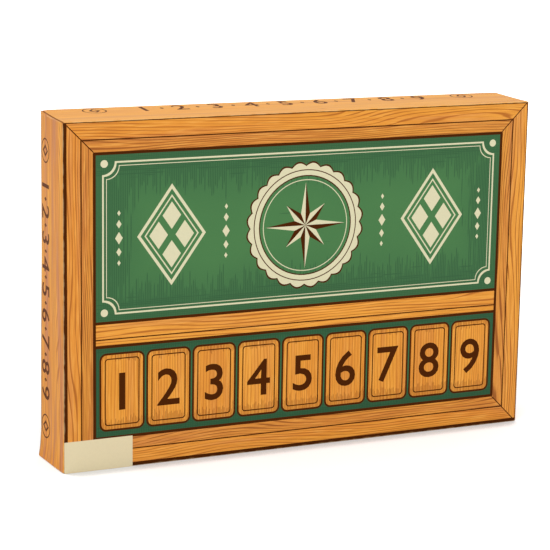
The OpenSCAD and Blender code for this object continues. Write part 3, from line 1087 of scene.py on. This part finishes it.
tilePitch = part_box("tile_2")[0].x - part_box("tile_1")[0].x
tileWood = timberMaterial("stainedBeech", tilePitch)
numberInk = newMaterial("numberInk", inkSurface)
for number in range(1, 10):
    dressNode("tile_" + str(number), tileWood, 0.5)
    addTileNumber(number, numberInk)
print("tiles dressed")


def dieMaterial(name, middle):
    def surface(place):
        clouds = remap(noise(place, 120.0, 3.0, 0.6), 0.3, 0.7)
        ivory = mixColour(clouds, colour(240, 232, 208), colour(234, 223, 195))
        mask = useGroup(pipMask, {"Vector": place, "Middle": middle})["Mask"]
        return {"Base Color": mixColour(mask, ivory, colour(24, 22, 21)),
                "Roughness": remap(noise(place, 700.0, 3.0, 0.6), 0.3, 0.7, 0.3, 0.42),
                "Coat Weight": 0.35, "Coat Roughness": 0.15}
    return newMaterial(name, surface)


for number in ("1", "2"):
    middle = (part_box("die_" + number)[0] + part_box("die_" + number)[1]) / 2
    dressNode("die_" + number, dieMaterial("ivoryDie" + number, middle), sharpAngle=30)

leaflet = {
    "green": (58, 108, 70),
    "grey": (112, 106, 98),
    "rowPitch": 0.0042,    # m, all below
    "column": 0.105,
    "margin": 0.009,
    "ragged": 0.024,       # a row stops up to this far short of its column's end
    "headBar": (0.130, 0.139),     # from the leaflet's bottom
    "barReach": 0.096,
    "textArea": (0.0125, 0.122),
    "sheet": 0.0001,
    "setBack": 0.00003,    # leaves room for the nail heads in front
    "reaches": (0.000165, 0.000062),   # half the gap inside each sheet
    "foldTop": 0.00024,
    "inset": 0.0006,       # of the inner sheet
}


def leafletPrint(place, paper):
    # two columns of broken grey dashes, row by row, under a green bar; no letters
    low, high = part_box("rules_sheet")
    parts, tree, column = split(place), place.tree, leaflet["column"]
    up = parts["Z"] - low.z
    across = calc("MODULO", high.x - parts["X"], column)
    rows = up / leaflet["rowPitch"]
    number = calc("FLOOR", rows)
    spot = joined(tree, X=parts["X"] * 420.0, Y=number * 3.71)
    end = noise(joined(tree, X=number * 5.3), 1.0, 0.0)
    ragged = remap(end, 0.3, 0.7, column - leaflet["ragged"], column - leaflet["margin"])

    def between(value, lowest, highest):
        return calc("GREATER_THAN", value, lowest) * calc("LESS_THAN", value, highest)

    dashes = (between(calc("FRACT", rows), 0.3, 0.62) * between(across, leaflet["margin"], ragged)
              * between(up, *leaflet["textArea"]) * remap(noise(spot, 1.0, 0.0), 0.36, 0.4)
              * calc("GREATER_THAN", calc("MODULO", number, 6.0), 0.5))
    bar = between(up, *leaflet["headBar"]) * between(calc("ABSOLUTE", parts["X"]), -1.0, leaflet["barReach"])
    printed = mixColour(dashes * 0.75, paper, colour(*leaflet["grey"]))
    return mixColour(bar * 0.9, printed, colour(*leaflet["green"]))


def rulesSurface(place):
    tooth = noise(place, 1800.0, 3.0, 0.6)
    paper = mixColour(remap(tooth, 0.3, 0.7), colour(240, 237, 228), colour(228, 224, 212))
    return {"Base Color": leafletPrint(place, paper), "Roughness": 0.8, "Specular IOR Level": 0.25,
            "Normal": (tooth + noise(place, 18.0) * 9.0, 0.3, 0.0002)}


def foldedLeaflet():
    # two sheets folded once, one inside the other: each runs up, half round the fold and down again
    low, high = np.array(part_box("rules_sheet"))
    middle, half = (low[1] + high[1]) / 2 + leaflet["setBack"], leaflet["sheet"] / 2
    turn = np.linspace(0, math.pi, 9)
    sheets = []
    for reach, rise in zip(leaflet["reaches"], (0, leaflet["inset"])):
        left, right, top = low[0] + rise, high[0] - rise, high[2] - leaflet["foldTop"] - rise * 0.2
        outer, inner = reach + half, reach - half
        rows = []
        for x, r in ((right, outer), (left, outer), (left, inner), (right, inner)):
            ys = np.concatenate([[middle - r], middle - r * np.cos(turn), [middle + r]])
            zs = np.concatenate([[low[2] + rise], top + r * np.sin(turn), [low[2] + rise * 1.5]])
            rows.append(columns(x, ys, zs))
        sheets.append(tube(np.stack(rows, axis=1)))
    piece = addMesh("rulesLeaflet", *merged(sheets), [newMaterial("rulesPaper", rulesSurface)])
    dress(settle(piece), "rules", "rules_sheet")


foldedLeaflet()
print("dice and leaflet dressed")

studio = {
    "world": 0.8,
    "floorSize": 12.0,
    "keyPower": 30.0,
    "keyPlace": (-0.8, -1.5, 2.55),
    "keySize": 1.6,
    "floorNear": 0.3,      # m, from the middle: nearer than this the floor is only lit
    "floorFar": 0.9,       # m: farther than this it shows plain white
    "floorLift": 0.3,
    "contactReach": 0.0185,    # m, reach of the painted contact shadow on the floor in front of what stands on it
    "contactOpen": (0.5, 0.73),     # share of open directions, from darkest to plain
    "contactShade": 0.6,
    "paleness": 0.88,
}
view = {
    "azimuth": -24.81,             # degrees
    "elevation": 12.12,
    "roll": 0.962,
    "focalPixels": 2072.9,         # focal length in pixels of a frame 550 pixels wide
    "framePixels": 550,
    "offset": (0.077, -0.5081, -6.151),    # front's lower middle in the camera's axes, in carton heights
}


def seenDirectly(tree):
    # 1 for what the camera sees, also in a mirror or through glass; 0 for light that falls on the object
    path = addNode(tree, "ShaderNodeLightPath")
    return most(path["Is Camera Ray"], most(path["Is Glossy Ray"], path["Is Transmission Ray"]))


def floorSurface(place):
    # the floor keeps the lamp's shadow near the object, darkened further by a painted contact shadow, and
    # turns to plain white farther off
    away = vectorMath("LENGTH", place)["Value"]
    lift = remap(away, studio["floorNear"], studio["floorFar"], studio["floorLift"], 1.0)
    # painted contact shadow from an AO node: looking along +Y, so only a front side close by counts
    ahead = {"Distance": studio["contactReach"], "Normal": joined(place.tree, Y=1.0)}
    openness = addNode(place.tree, "ShaderNodeAmbientOcclusion", ahead, samples=16)["AO"]
    contact = remap(openness, *studio["contactOpen"], studio["contactShade"], 1.0)
    shown, pale = [addNode(place.tree, "ShaderNodeCombineColor", {0: value, 1: value, 2: value})
                   for value in (lift * contact * seenDirectly(place.tree), contact * studio["paleness"])]
    return {"Emission Color": shown, "Emission Strength": 1.0, "Base Color": pale, "Roughness": 0.95,
            "Specular IOR Level": 0.0}


half = studio["floorSize"] / 2
addMesh("floor", [(-half, -half, 0), (half, -half, 0), (half, half, 0), (-half, half, 0)],
                 [(0, 1, 2, 3)], [newMaterial("paleFloor", floorSurface)])

world = bpy.data.worlds.new("paleRoom")
world.use_nodes = True
bpy.context.scene.world = world
sky = seenDirectly(world.node_tree) * (1 - studio["world"]) + studio["world"]
setInputs(world.node_tree.nodes["Background"], {"Strength": sky, "Color": (1, 1, 1, 1)})

lamp = bpy.data.lights.new("softKey", "AREA")
lamp.energy = studio["keyPower"]
lamp.size = studio["keySize"]
key = addObject("softKey", lamp)
key.location = studio["keyPlace"]
key.rotation_euler = (Vector((0, 0, 0.1)) - key.location).to_track_quat("-Z", "Y").to_euler()

azimuth, elevation, roll = [math.radians(view[key]) for key in ("azimuth", "elevation", "roll")]
turn = (Matrix.Rotation(azimuth, 3, "Z") @ Matrix.Rotation(quarterTurn - elevation, 3, "X")
        @ Matrix.Rotation(roll, 3, "Z"))
lens = bpy.data.cameras.new("mainView")
lens.sensor_width = 36
lens.lens = view["focalPixels"] / view["framePixels"] * lens.sensor_width
camera = addObject("mainView", lens)
place = Vector((0, lidBox[0].y, lidBox[0].z)) - turn @ Vector(view["offset"]) * (cartonH * mm)
camera.matrix_world = Matrix.Translation(place) @ turn.to_4x4()
bpy.context.scene.camera = camera
bpy.context.scene.view_settings.view_transform = "Standard"
